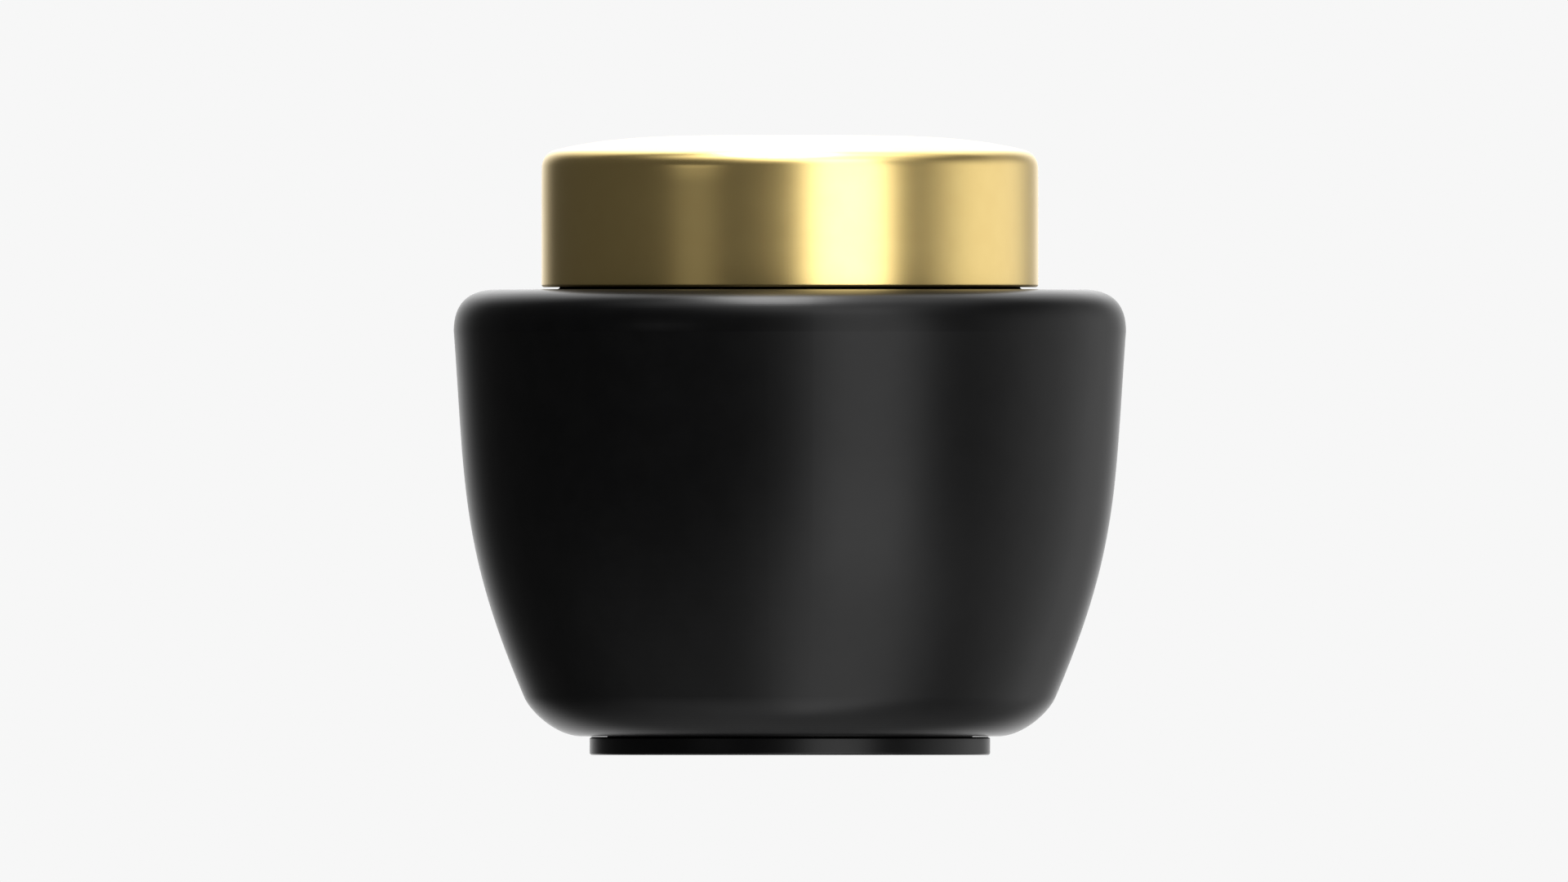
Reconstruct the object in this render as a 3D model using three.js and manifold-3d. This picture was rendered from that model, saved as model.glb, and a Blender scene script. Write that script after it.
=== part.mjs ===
// Double-wall cosmetic cream jar with a two-start screw lid. Millimetres, +Z up.
// The origin is the centre of the foot's underside. Every piece is turned about the Z axis.
// From the inside out: an inner cup hangs by its flange on the collar of a heavy-walled outer jar,
// a plug closes the jar's underside over a steel weight, a lift-off disc covers the cup, and the lid
// is a threaded inner cap with a wad, a steel plate and a domed metal overshell.
import * as THREE from "three";
import { mergeVertices } from "three/addons/utils/BufferGeometryUtils.js";
import Module from "manifold-3d";

const wasm = await Module();
wasm.setup();

// ---------------------------------------------------------------- driving dimensions

const SEGMENTS = 48; // facets round each turned surface

// Clearances
const SEAT_GAP = 0.2; // under a piece that rests on another
const SIDE_GAP = 0.3; // round a piece that stands in a bore
const THREAD_GAP = 0.35; // from each thread's crest to the other's root
const RUNNING_GAP = 0.35; // from the lid's skirt to the jar's collar

// Outer jar
const BELLY_R = 36.0; // widest radius
const SHOULDER_Z = 49.9; // height of the shoulder at the collar
const SHOULDER_ROUND = 4.5; // how far the shoulder's rounding reaches, inwards and down
const SHOULDER_FALL = 0.05; // how much the shoulder drops before its rounding
const HEEL_INSET = 7.55; // how much narrower than the belly the jar is at the heel
const HEEL_Z = 6.2; // height of the heel, where the side turns under
const UNDER_Z = 2.0; // height of the jar's underside
const UNDER_STEP = 1.05; // how far the flat underside runs out past the foot
const COLLAR_H = 1.7; // height of the collar above the shoulder
const COLLAR_WALL = 2.45;
const WEB_T = 3.0; // floor between the cup's bore and the weight's pocket

// Foot: a plug with a spigot that stands in the jar's underside
const FOOT_R = 21.45;
const FOOT_GAP = 0.25; // seam between the foot ring and the jar
const FOOT_FILLET = 0.35;
const FOOT_LAND = 4.0; // width of the ring that the jar stands on
const FOOT_RECESS = 0.6; // depth of the underside inside that ring
const PLUG_FLOOR_T = 1.8;
const SPIGOT_INSET = 1.95; // from the foot's radius in to the spigot's
const SPIGOT_WALL = 1.3;
const SPIGOT_H = 3.4; // height of the spigot above the foot ring

// Steel weight in the base
const WEIGHT_T = 4.0;

// Inner cup and its neck
const THREAD_R = 23.8; // crest radius of the neck's thread
const THREAD_H = 1.2; // radial height of both threads
const NECK_WALL = 2.2;
const NECK_H = 10.3; // height of the rim above the shoulder
const CUP_WALL = 1.5;
const CUP_FLOOR_T = 1.5;
const CUP_ROUND = 5.0; // radius of the cup's inside corner
const FLANGE_T = 1.2;
const FLANGE_INSET = 0.45; // from the collar's radius in to the flange's
const RIM_ROUND = 0.4;

// Keys under the cup's flange, which stop the cup turning with the lid
const KEY_COUNT = 4;
const KEY_WIDTH = 2.4;
const KEY_REACH = 1.1; // out past the cup's wall
const KEY_DEPTH = 0.9; // down into the collar

// Two-start thread
const THREAD_STARTS = 2;
const THREAD_PITCH = 4.233; // from one ridge to the next, six to the inch
const THREAD_BASE = 1.9; // width of a ridge at its root
const THREAD_CREST = 0.9; // width of a ridge at its crest
const THREAD_SINK = 0.3; // how deep a ridge's root is let into its wall
const THREAD_RISE = 1.75; // from the flange's top to the lower end of a ridge's centre line
const THREAD_TOP_GAP = 1.217; // from the upper end of that line to the rim
const THREAD_FLANK_GAP = 0.25; // between a lid ridge and the neck ridge that it pulls against
const THREAD_LAG = 60; // degrees by which the lid's ridges start later, clear of the flange
const RUN_OUT_STEPS = 4; // facets over which the end of a ridge fades

// Sealing disc
const DISC_T = 0.8;
const DISC_RIM_GAP = 0.3; // from the neck's outer radius in to the disc's edge
const DISH_DEPTH = 3.0;
const DISH_GAP = 0.5; // from the cup's wall in to the dish
const DISH_DRAFT = 1.0; // how much narrower the dish is at its floor
const TAB_WIDTH = 12.0;
const TAB_T = 1.2;
const TAB_H = 2.5;

// Lid: wad, inner cap, plate and overshell
const WAD_T = 1.0;
const WAD_SIDE_GAP = 0.5;
const BEAD_OVERLAP = 0.4; // how far the retaining bead reaches in under the wad
const BEAD_H = 0.9;
const CAP_TOP_T = 1.2;
const CAP_LIP_WALL = 0.8; // wall of the cap's skirt where it passes the collar
const LIP_HEADROOM = 0.4; // from the flange's top to the top of that thin stretch
const PLATE_R = 18.0;
const PLATE_T = 1.0;
const PLATE_RIB_T = 0.8; // ring on the cap's top that centres the plate
const PLATE_RIB_H = 0.6;
const SHELL_T = 0.5;
const SHELL_HEADROOM = 0.85; // from the plate to the shell at the middle
const SHELL_GAP = 0.2; // from the shoulder to the lid's lower edge
const HEM_WIDTH = 1.15; // turned-in lower edge, from the outside
const HEM_ROUND = 0.3;
const DOME_DROP = 1.57; // how far the dome falls from its middle to its edge
const DOME_POWER = 4; // the dome is nearly flat and falls away towards its edge
const DOME_ROUND_R = 1.5; // how far the top edge's rounding reaches inwards
const DOME_ROUND_H = 1.78; // and downwards

// ---------------------------------------------------------------- derived sizes

const lead = THREAD_PITCH * THREAD_STARTS;
const neckR = THREAD_R - THREAD_H;
const cupR = neckR - NECK_WALL;
const cupOuterR = cupR + CUP_WALL;
const boreR = cupOuterR + SIDE_GAP;
const collarR = boreR + COLLAR_WALL;
const flangeR = collarR - FLANGE_INSET;
const spigotR = FOOT_R - SPIGOT_INSET;
const pocketR = spigotR + SIDE_GAP;
const weightR = spigotR - SPIGOT_WALL - SIDE_GAP;
const capRootR = THREAD_R + THREAD_GAP;
const capCrestR = neckR + THREAD_GAP;
const lipR = collarR + RUNNING_GAP;
const capR = lipR + CAP_LIP_WALL;
const shellR = capR + SIDE_GAP + SHELL_T;
const wadR = capRootR - WAD_SIDE_GAP;
const discR = neckR - DISC_RIM_GAP;

const footTopZ = UNDER_Z - FOOT_GAP;
const plugFloorZ = FOOT_RECESS + PLUG_FLOOR_T;
const weightZ = plugFloorZ + SEAT_GAP;
const pocketTopZ = weightZ + WEIGHT_T + SEAT_GAP;
const boreFloorZ = pocketTopZ + WEB_T;
const cupZ = boreFloorZ + SEAT_GAP;
const cupFloorZ = cupZ + CUP_FLOOR_T;
const collarTopZ = SHOULDER_Z + COLLAR_H;
const flangeZ = collarTopZ + SEAT_GAP;
const flangeTopZ = flangeZ + FLANGE_T;
const rimZ = SHOULDER_Z + NECK_H;
const threadTurns = (rimZ - THREAD_TOP_GAP - flangeTopZ - THREAD_RISE) / lead; // of each start
const discZ = rimZ + SEAT_GAP;
const discTopZ = discZ + DISC_T;
const wadZ = discTopZ + SEAT_GAP;
const capPlateZ = wadZ + WAD_T + SEAT_GAP;
const capTopZ = capPlateZ + CAP_TOP_T;
const plateZ = capTopZ + SEAT_GAP;
const shellTopZ = plateZ + PLATE_T + SHELL_HEADROOM + SHELL_T;
const shellZ = SHOULDER_Z + SHELL_GAP;
const capZ = shellZ + SHELL_T + SEAT_GAP;
const lipTopZ = flangeTopZ + LIP_HEADROOM;
const capRound = DOME_ROUND_H; // the inner cap's top edge follows the shell's

// ---------------------------------------------------------------- outlines

const point = (r, z) => new THREE.Vector2(r, z);

/** Points on a cubic curve, without its first one. */
function curve(from, pullFrom, pullTo, to, steps) {
  return new THREE.CubicBezierCurve(from, pullFrom, pullTo, to).getPoints(steps).slice(1);
}

/** Points on an arc about (r, z), from one angle to another in degrees. */
function arc(r, z, radius, startAngle, endAngle, steps = 4) {
  const start = THREE.MathUtils.degToRad(startAngle);
  const end = THREE.MathUtils.degToRad(endAngle);
  const clockwise = end < start;
  return new THREE.EllipseCurve(r, z, radius, radius, start, end, clockwise).getPoints(steps);
}

/** The jar's outside, from its underside up over the belly to the shoulder. */
function jarOutline() {
  const under = point(FOOT_R + UNDER_STEP, UNDER_Z);
  const heel = point(BELLY_R - HEEL_INSET, HEEL_Z);
  const belly = point(BELLY_R, SHOULDER_Z - SHOULDER_ROUND);
  const brow = point(BELLY_R - SHOULDER_ROUND, SHOULDER_Z - SHOULDER_FALL);
  const sideH = belly.y - heel.y;
  const heelH = heel.y - under.y;
  const turnUnder = [
    point(under.x + heelH * 0.64, under.y + heelH * 0.04),
    point(heel.x - heelH * 0.16, heel.y - heelH * 0.37),
  ];
  const side = [
    point(heel.x + sideH * 0.174, heel.y + sideH * 0.407),
    point(belly.x - sideH * 0.031, belly.y - sideH * 0.424),
  ];
  const shoulder = [
    point(belly.x, belly.y + SHOULDER_ROUND * 0.54),
    point(brow.x + SHOULDER_ROUND * 0.77, brow.y - SHOULDER_FALL),
  ];
  return [
    under,
    ...curve(under, ...turnUnder, heel, 6),
    ...curve(heel, ...side, belly, 12),
    ...curve(belly, ...shoulder, brow, 7),
  ];
}

/** The overshell's outside, or its inside at an inset, from its straight side up to the axis. */
function domeOutline(inset) {
  const sideR = shellR - inset;
  const edgeR = sideR - DOME_ROUND_R;
  const topZ = shellTopZ - inset;
  const edgeZ = topZ - DOME_DROP;
  const sideTop = point(sideR, edgeZ - DOME_ROUND_H);
  const edge = point(edgeR, edgeZ);
  const pulls = [
    point(sideR, edgeZ - DOME_ROUND_H * 0.5),
    point(edgeR + DOME_ROUND_R * 0.55, edgeZ - DOME_ROUND_H * 0.1),
  ];
  const crown = [];
  for (const share of [0.87, 0.73, 0.57, 0.36, 0]) {
    crown.push(point(edgeR * share, topZ - DOME_DROP * share ** DOME_POWER));
  }
  return [sideTop, ...curve(sideTop, ...pulls, edge, 5), ...crown];
}

// ---------------------------------------------------------------- solids

/** A closed outline of [radius, height] points turned about the Z axis; it runs anticlockwise. */
function turned(outline) {
  return new THREE.LatheGeometry(outline, SEGMENTS).rotateX(Math.PI / 2);
}

/** A closed geometry as a solid that can be joined and cut. */
function solidOf(geometry) {
  const bare = geometry.clone();
  bare.deleteAttribute("normal");
  bare.deleteAttribute("uv");
  const merged = mergeVertices(bare);
  const index = merged.index.array;
  const triangles = [];
  for (let i = 0; i < index.length; i += 3) {
    const [a, b, c] = index.subarray(i, i + 3);
    if (a !== b && b !== c && c !== a) {
      triangles.push(a, b, c);
    }
  }
  const mesh = new wasm.Mesh({
    numProp: 3,
    vertProperties: new Float32Array(merged.attributes.position.array),
    triVerts: new Uint32Array(triangles),
  });
  return new wasm.Manifold(mesh);
}

/** A solid as a geometry. */
function geometryOf(solid) {
  const mesh = solid.getMesh();
  const geometry = new THREE.BufferGeometry();
  geometry.setAttribute("position", new THREE.BufferAttribute(mesh.vertProperties, 3));
  geometry.setIndex(new THREE.BufferAttribute(mesh.triVerts, 1));
  geometry.computeVertexNormals();
  return geometry;
}

function joined(base, additions) {
  return geometryOf(additions.reduce((whole, piece) => whole.add(solidOf(piece)), solidOf(base)));
}

function cutBy(base, tools) {
  return geometryOf(tools.reduce((whole, tool) => whole.subtract(solidOf(tool)), solidOf(base)));
}

/**
 * The starts of a thread. Each is a part-turn ring of the ridge's section, raised into a
 * right-hand helix, with both ends shrunk into the wall so that the ridge runs out.
 */
function threadRidges(rootR, crestR, startZ, startAngle) {
  const outward = Math.sign(crestR - rootR);
  const sunkR = rootR - outward * THREAD_SINK;
  const section = [
    point(sunkR, (-outward * THREAD_BASE) / 2),
    point(crestR, (-outward * THREAD_CREST) / 2),
    point(crestR, (outward * THREAD_CREST) / 2),
    point(sunkR, (outward * THREAD_BASE) / 2),
  ];
  const outline = [...section, section[0]];
  const steps = Math.round(SEGMENTS * threadTurns);
  const ridges = [];
  for (let start = 0; start < THREAD_STARTS; start += 1) {
    const turnTo = THREE.MathUtils.degToRad(startAngle + (360 * start) / THREAD_STARTS);
    const ridge = new THREE.LatheGeometry(outline, steps, turnTo, 2 * Math.PI * threadTurns);
    const places = ridge.attributes.position;
    for (let i = 0; i < places.count; i += 1) {
      const step = Math.floor(i / outline.length);
      const { x: r, y: h } = outline[i % outline.length];
      const keep = Math.min(1, step / RUN_OUT_STEPS, (steps - step) / RUN_OUT_STEPS);
      const angle = turnTo + (step / steps) * 2 * Math.PI * threadTurns;
      const radius = sunkR + (r - sunkR) * keep;
      const rise = (step / steps) * threadTurns * lead;
      places.setXYZ(i, radius * Math.sin(angle), startZ + rise + h * keep, radius * Math.cos(angle));
    }
    ridges.push(ridge.rotateX(Math.PI / 2));
  }
  return ridges;
}

/** How far apart the centre lines of a neck ridge and a lid ridge are when their flanks touch. */
function flankContact() {
  const overlapShare = (THREAD_GAP + THREAD_SINK) / (THREAD_H + THREAD_SINK);
  const taper = (THREAD_BASE - THREAD_CREST) / 2;
  return (THREAD_BASE + THREAD_CREST) / 2 - taper * overlapShare;
}

/** Blocks spaced evenly round the axis, from one radius to another and one height to another. */
function blocksAround(count, innerR, outerR, width, lowZ, highZ) {
  const blocks = [];
  for (let i = 0; i < count; i += 1) {
    const block = new THREE.BoxGeometry(outerR - innerR, width, highZ - lowZ);
    block.translate((innerR + outerR) / 2, 0, (lowZ + highZ) / 2);
    blocks.push(block.rotateZ((2 * Math.PI * i) / count));
  }
  return blocks;
}

// ---------------------------------------------------------------- pieces

/** Heavy-walled jar: bored from above for the cup and pocketed from below for the weight. */
function outerJar() {
  const body = turned([
    point(0, pocketTopZ),
    point(pocketR, pocketTopZ),
    point(pocketR, UNDER_Z),
    ...jarOutline(),
    point(collarR, SHOULDER_Z),
    point(collarR, collarTopZ),
    point(boreR, collarTopZ),
    point(boreR, boreFloorZ),
    point(0, boreFloorZ),
  ]);
  const notchFloorZ = flangeZ - KEY_DEPTH - SIDE_GAP;
  const notchOuterR = cupOuterR + KEY_REACH + SIDE_GAP;
  const notchWidth = KEY_WIDTH + 2 * SIDE_GAP;
  const aboveCollar = collarTopZ + 1;
  const notches = blocksAround(
    KEY_COUNT, boreR - 1, notchOuterR, notchWidth, notchFloorZ, aboveCollar,
  );
  return cutBy(body, notches);
}

/** Cup with a flange, a rim and the neck's thread, and keys under the flange. */
function innerCup() {
  const body = turned([
    point(0, cupZ),
    ...arc(cupOuterR - CUP_ROUND, cupZ + CUP_ROUND, CUP_ROUND, -90, 0),
    point(cupOuterR, flangeZ),
    point(flangeR, flangeZ),
    point(flangeR, flangeTopZ),
    point(neckR, flangeTopZ),
    ...arc(neckR - RIM_ROUND, rimZ - RIM_ROUND, RIM_ROUND, 0, 90, 2),
    ...arc(cupR + RIM_ROUND, rimZ - RIM_ROUND, RIM_ROUND, 90, 180, 2),
    ...arc(cupR - CUP_ROUND, cupFloorZ + CUP_ROUND, CUP_ROUND, 0, -90),
    point(0, cupFloorZ),
  ]);
  const ridges = threadRidges(neckR, THREAD_R, flangeTopZ + THREAD_RISE, 0);
  const keyTopZ = flangeZ + FLANGE_T / 2;
  const keys = blocksAround(
    KEY_COUNT, cupR + CUP_WALL / 2, cupOuterR + KEY_REACH, KEY_WIDTH, flangeZ - KEY_DEPTH, keyTopZ,
  );
  return joined(body, [...ridges, ...keys]);
}

/** Foot ring with a spigot that stands in the jar and holds the weight. */
function basePlug() {
  const landR = FOOT_R - FOOT_LAND;
  const spigotTopZ = footTopZ + SPIGOT_H;
  return turned([
    point(0, FOOT_RECESS),
    point(landR, FOOT_RECESS),
    point(landR, 0),
    ...arc(FOOT_R - FOOT_FILLET, FOOT_FILLET, FOOT_FILLET, -90, 0, 3),
    point(FOOT_R, footTopZ),
    point(spigotR, footTopZ),
    point(spigotR, spigotTopZ),
    point(spigotR - SPIGOT_WALL, spigotTopZ),
    point(spigotR - SPIGOT_WALL, plugFloorZ),
    point(0, plugFloorZ),
  ]);
}

/** Plain round plate standing on a height. */
function roundPlate(radius, lowZ, thickness) {
  return turned([
    point(0, lowZ),
    point(radius, lowZ),
    point(radius, lowZ + thickness),
    point(0, lowZ + thickness),
  ]);
}

/** Disc that rests on the rim, dished inside the cup, with a tab to lift it by. */
function sealingDisc() {
  const dishR = cupR - DISH_GAP;
  const dishFloorR = dishR - DISH_DRAFT;
  const dishZ = discZ - DISH_DEPTH;
  const dish = turned([
    point(0, dishZ),
    point(dishFloorR, dishZ),
    point(dishR, discZ),
    point(discR, discZ),
    point(discR, discTopZ),
    point(dishR - DISC_T, discTopZ),
    point(dishFloorR - DISC_T, dishZ + DISC_T),
    point(0, dishZ + DISC_T),
  ]);
  const half = TAB_WIDTH / 2;
  const shape = new THREE.Shape();
  shape.moveTo(-half, -DISC_T / 2);
  shape.lineTo(half, -DISC_T / 2);
  shape.quadraticCurveTo(half, TAB_H, 0, TAB_H);
  shape.quadraticCurveTo(-half, TAB_H, -half, -DISC_T / 2);
  const tab = new THREE.ExtrudeGeometry(shape, {
    depth: TAB_T,
    bevelEnabled: false,
    curveSegments: 6,
  });
  tab.translate(0, 0, -TAB_T / 2);
  tab.rotateX(Math.PI / 2);
  tab.translate(0, 0, dishZ + DISC_T);
  return joined(dish, [tab]);
}

/** Threaded cap inside the overshell: skirt, top, wad bead and the rib that centres the plate. */
function innerCap() {
  const beadR = wadR - BEAD_OVERLAP;
  const beadZ = wadZ - SEAT_GAP;
  const ribR = PLATE_R + SIDE_GAP;
  const ribTopZ = capTopZ + PLATE_RIB_H;
  const body = turned([
    point(0, capPlateZ),
    point(capRootR, capPlateZ),
    point(capRootR, beadZ),
    point(beadR, beadZ - BEAD_H / 2),
    point(capRootR, beadZ - BEAD_H),
    point(capRootR, lipTopZ),
    point(lipR, lipTopZ),
    point(lipR, capZ),
    point(capR, capZ),
    ...arc(capR - capRound, capTopZ - capRound, capRound, 0, 90),
    point(ribR + PLATE_RIB_T, capTopZ),
    point(ribR + PLATE_RIB_T, ribTopZ),
    point(ribR, ribTopZ),
    point(ribR, capTopZ),
    point(0, capTopZ),
  ]);
  const belowNeckRidge = flankContact() + THREAD_FLANK_GAP;
  const lagRise = (lead * THREAD_LAG) / 360;
  const startZ = flangeTopZ + THREAD_RISE - belowNeckRidge + lagRise;
  return joined(body, threadRidges(capRootR, capCrestR, startZ, THREAD_LAG));
}

/** Thin metal shell with a domed top and a lower edge turned in under the inner cap. */
function lidOvershell() {
  const hemR = shellR - HEM_WIDTH;
  return turned([
    ...domeOutline(SHELL_T).reverse(),
    point(shellR - SHELL_T, shellZ + SHELL_T),
    point(hemR, shellZ + SHELL_T),
    point(hemR, shellZ),
    ...arc(shellR - HEM_ROUND, shellZ + HEM_ROUND, HEM_ROUND, -90, 0, 3),
    ...domeOutline(0),
  ]);
}

// ---------------------------------------------------------------- materials

function plastic(color, roughness) {
  return new THREE.MeshStandardMaterial({ color, roughness, metalness: 0 });
}

function metal(color, roughness) {
  return new THREE.MeshStandardMaterial({ color, roughness, metalness: 1 });
}

const jarBlack = () => plastic(0x0b0b0c, 0.35);
const capBlack = () => plastic(0x141415, 0.5);
const cupWhite = () => plastic(0xf2f1ec, 0.4);
const discWhite = () => plastic(0xeceae4, 0.45);
const foamWhite = () => plastic(0xe6e4de, 0.9);
const steel = () => metal(0xa9abad, 0.4);
const gold = () => metal(0xe3c27a, 0.3);

// ---------------------------------------------------------------- assembly

function piece(name, geometry, material) {
  const mesh = new THREE.Mesh(geometry, material);
  mesh.name = name;
  return mesh;
}

function jarGroup() {
  const group = new THREE.Group();
  group.add(piece("outer_jar", outerJar(), jarBlack()));
  group.add(piece("inner_cup", innerCup(), cupWhite()));
  group.add(piece("base_plug", basePlug(), jarBlack()));
  group.add(piece("base_weight", roundPlate(weightR, weightZ, WEIGHT_T), steel()));
  return group;
}

function lidGroup() {
  const group = new THREE.Group();
  group.add(piece("lid_wad", roundPlate(wadR, wadZ, WAD_T), foamWhite()));
  group.add(piece("inner_cap", innerCap(), capBlack()));
  group.add(piece("lid_plate", roundPlate(PLATE_R, plateZ, PLATE_T), steel()));
  group.add(piece("lid_overshell", lidOvershell(), gold()));
  return group;
}

const jar = new THREE.Group();
jar.add(jarGroup());
jar.add(piece("sealing_disc", sealingDisc(), discWhite()));
jar.add(lidGroup());

export default jar;
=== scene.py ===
"""Finished looks of a double-wall cosmetic cream jar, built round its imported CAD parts.

Each piece is a turned surface worked out with numpy from a half section, in the same frame as
the CAD: metres, +Z up, the foot's underside centred on the origin. Sizes are in millimetres
until a mesh is made. Angles round the axis start at the front (-Y) and run towards the right
(+X), so a right-hand thread climbs as its angle grows.
"""

import logging
import math
from dataclasses import dataclass
from enum import Enum
from typing import Sequence

import bpy
import numpy as np
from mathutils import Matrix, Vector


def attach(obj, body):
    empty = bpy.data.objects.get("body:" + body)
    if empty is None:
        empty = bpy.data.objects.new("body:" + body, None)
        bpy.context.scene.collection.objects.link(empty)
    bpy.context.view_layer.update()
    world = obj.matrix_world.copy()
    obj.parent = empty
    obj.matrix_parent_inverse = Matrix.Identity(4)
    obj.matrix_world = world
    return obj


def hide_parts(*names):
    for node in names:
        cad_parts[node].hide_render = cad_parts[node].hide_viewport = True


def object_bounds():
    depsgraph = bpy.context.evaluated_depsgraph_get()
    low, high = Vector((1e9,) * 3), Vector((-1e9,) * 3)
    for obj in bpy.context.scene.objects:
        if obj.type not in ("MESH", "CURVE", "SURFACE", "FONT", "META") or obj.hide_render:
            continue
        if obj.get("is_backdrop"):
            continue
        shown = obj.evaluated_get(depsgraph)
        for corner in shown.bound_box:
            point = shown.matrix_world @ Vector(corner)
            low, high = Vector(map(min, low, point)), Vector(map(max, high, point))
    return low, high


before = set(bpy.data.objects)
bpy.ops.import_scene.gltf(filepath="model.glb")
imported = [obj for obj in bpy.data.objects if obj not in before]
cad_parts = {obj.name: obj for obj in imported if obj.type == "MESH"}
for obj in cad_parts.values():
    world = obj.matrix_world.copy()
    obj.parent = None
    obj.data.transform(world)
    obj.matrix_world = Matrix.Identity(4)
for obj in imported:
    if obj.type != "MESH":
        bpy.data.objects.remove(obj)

MM = 0.001
# Points closer than ALIKE are one; SLACK allows for rounding; CLEAR steps past an edge.
ALIKE, SLACK, CLEAR = 1e-6, 1e-4, 0.1
COLUMNS, FINE_COLUMNS, DISC_COLUMNS = 240, 256, 180
THREAD_STEP = 0.07
Point = tuple[float, float]
Triple = tuple[float, float, float]
Array = np.ndarray
Socket = bpy.types.NodeSocket
log = logging.getLogger("cream_jar")


# ---- names in the record


class Body(Enum):
    """The CAD bodies that the pieces ride on."""

    JAR = "jar"
    WAD = "wad"
    LID = "lid"
    DISC = "disc"


class Slot(Enum):
    """The record's material slots."""

    JAR_BLACK = "jar_black"
    CUP_WHITE = "cup_white"
    FOOT_BLACK = "foot_black"
    BASE_STEEL = "base_steel"
    DISC_WHITE = "disc_white"
    WAD_FOAM = "wad_foam"
    CAP_BLACK = "cap_black"
    LID_STEEL = "lid_steel"
    LID_GOLD = "lid_gold"


# ---- outlines


def smooth(value: Array) -> Array:
    """Eases 0..1 with level ends: three times the square less twice the cube."""
    held = np.clip(value, 0.0, 1.0)
    return held * held * (3.0 - 2.0 * held)


def step_lengths(line: Array) -> Array:
    """The length of each of a line's steps."""
    return np.linalg.norm(np.diff(line, axis=0), axis=1)


def distances(line: Array) -> Array:
    """How far along a line each of its points is."""
    return np.concatenate([[0.0], np.cumsum(step_lengths(line))])


def with_places(line: Array, extra: Array, digits: int) -> Array:
    """A line with further points at some distances along it, all rounded to some digits."""
    at = distances(line)
    places = np.unique(np.round(np.concatenate([at, extra]), digits))
    return np.column_stack([np.interp(places, at, column) for column in line.T])


class Outline:
    """A piece's half section: radius and height in millimetres, from the axis back to the axis.

    It runs anticlockwise, so that the material is on its left and faces point to its right.
    """

    ARC_STEPS = 7
    HOLD = 0.06
    LONGEST_STEP = 1.4

    def __init__(self) -> None:
        """Starts with no corners."""
        self._corners: list[Triple] = []

    def to(self, radius: float, height: float, rounding: float = 0.0) -> "Outline":
        """Adds a corner, with the radius of the arc that replaces it."""
        self._corners.append((radius, height, rounding))
        return self

    def across(self, radius: float, rounding: float = 0.0) -> "Outline":
        """Adds a corner at the last one's height."""
        return self.to(radius, self._corners[-1][1], rounding)

    def rise(self, height: float, rounding: float = 0.0) -> "Outline":
        """Adds a corner above or below the last one."""
        return self.to(self._corners[-1][0], height, rounding)

    def curve(self, points: Sequence[Point], steps: int) -> "Outline":
        """Adds a cubic curve in straight steps, by the two points that pull it and its end."""
        held = np.array([self._corners[-1][:2], *points])
        t = np.linspace(0.0, 1.0, steps + 1)[1:, None]
        powers = np.arange(4)
        terms = np.array([1, 3, 3, 1]) * t**powers * (1 - t) ** (3 - powers)
        self._corners += [(r, z, 0.0) for r, z in (terms @ held).tolist()]
        return self

    def given(self) -> Array:
        """The corners as they were given, without their roundings."""
        return np.array(self._corners)[:, :2]

    def points(self) -> Array:
        """Works out the outline's points.

        A rounded corner becomes a true arc: a quadratic curve between its two tangent points,
        pulled to the corner with the cosine of half the turn as its weight. Long steps are then
        cut up, with a point held close to each end, so that flats shade flat.

        Returns:
            Rows of radius and height.
        """
        given = np.array(self._corners)
        corner, rounding = given[:, :2], given[:, 2]
        along = np.diff(corner, axis=0)
        along /= np.linalg.norm(along, axis=1, keepdims=True)
        arrive = np.vstack([along[:1], along])
        leave = np.vstack([along, along[-1:]])
        turn = np.arccos(np.clip((arrive * leave).sum(1), -1.0, 1.0))
        reach = (rounding * np.tan(turn / 2))[:, None]
        start, end = corner - arrive * reach, corner + leave * reach
        s = np.linspace(0.0, 1.0, self.ARC_STEPS + 1)[None, :]
        first, last = (1 - s) ** 2, s**2
        middle = 2 * s * (1 - s) * np.cos(turn / 2)[:, None]
        total = (first + middle + last)[..., None]
        arcs = (
            first[..., None] * start[:, None]
            + middle[..., None] * corner[:, None]
            + last[..., None] * end[:, None]
        ) / total
        return self._cut_up(arcs.reshape(-1, 2))

    def _cut_up(self, line: Array) -> Array:
        """Cuts a line's long steps into shorter ones, with a held point near each end."""
        line = line[np.concatenate([[True], step_lengths(line) > ALIKE])]
        at, wide = distances(line), step_lengths(line) > 4 * self.HOLD
        lows, highs = at[:-1][wide] + self.HOLD, at[1:][wide] - self.HOLD
        count = np.ceil((highs - lows) / self.LONGEST_STEP).astype(int)
        share = np.arange(count.max(initial=0) + 1)[None, :] / count[:, None]
        inner = (lows[:, None] + share * (highs - lows)[:, None])[share <= 1.0]
        return with_places(line, inner, 5)


def finer_between(line: Array, low: float, high: float, step: float) -> Array:
    """Adds points to the stretches of a line that pass between two heights at one radius.

    Args:
        line: rows of radius and height.
        low: lower height.
        high: upper height.
        step: longest step wanted.

    Returns:
        The line with the extra points, at even heights along the wall.
    """
    at, radius, height = distances(line), line[:, 0], line[:, 1]
    inside = (height >= low - ALIKE) & (height <= high + ALIKE)
    runs = np.flatnonzero(inside[:-1] & inside[1:] & (np.abs(np.diff(radius)) < ALIKE))
    shares = np.linspace(0.0, 1.0, int(np.ceil(np.diff(at)[runs].max() / step)) + 1)[1:-1]
    extra = (at[runs][:, None] + shares * (at[runs + 1] - at[runs])[:, None]).ravel()
    return with_places(line, extra, 6)


# ---- turned meshes


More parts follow.
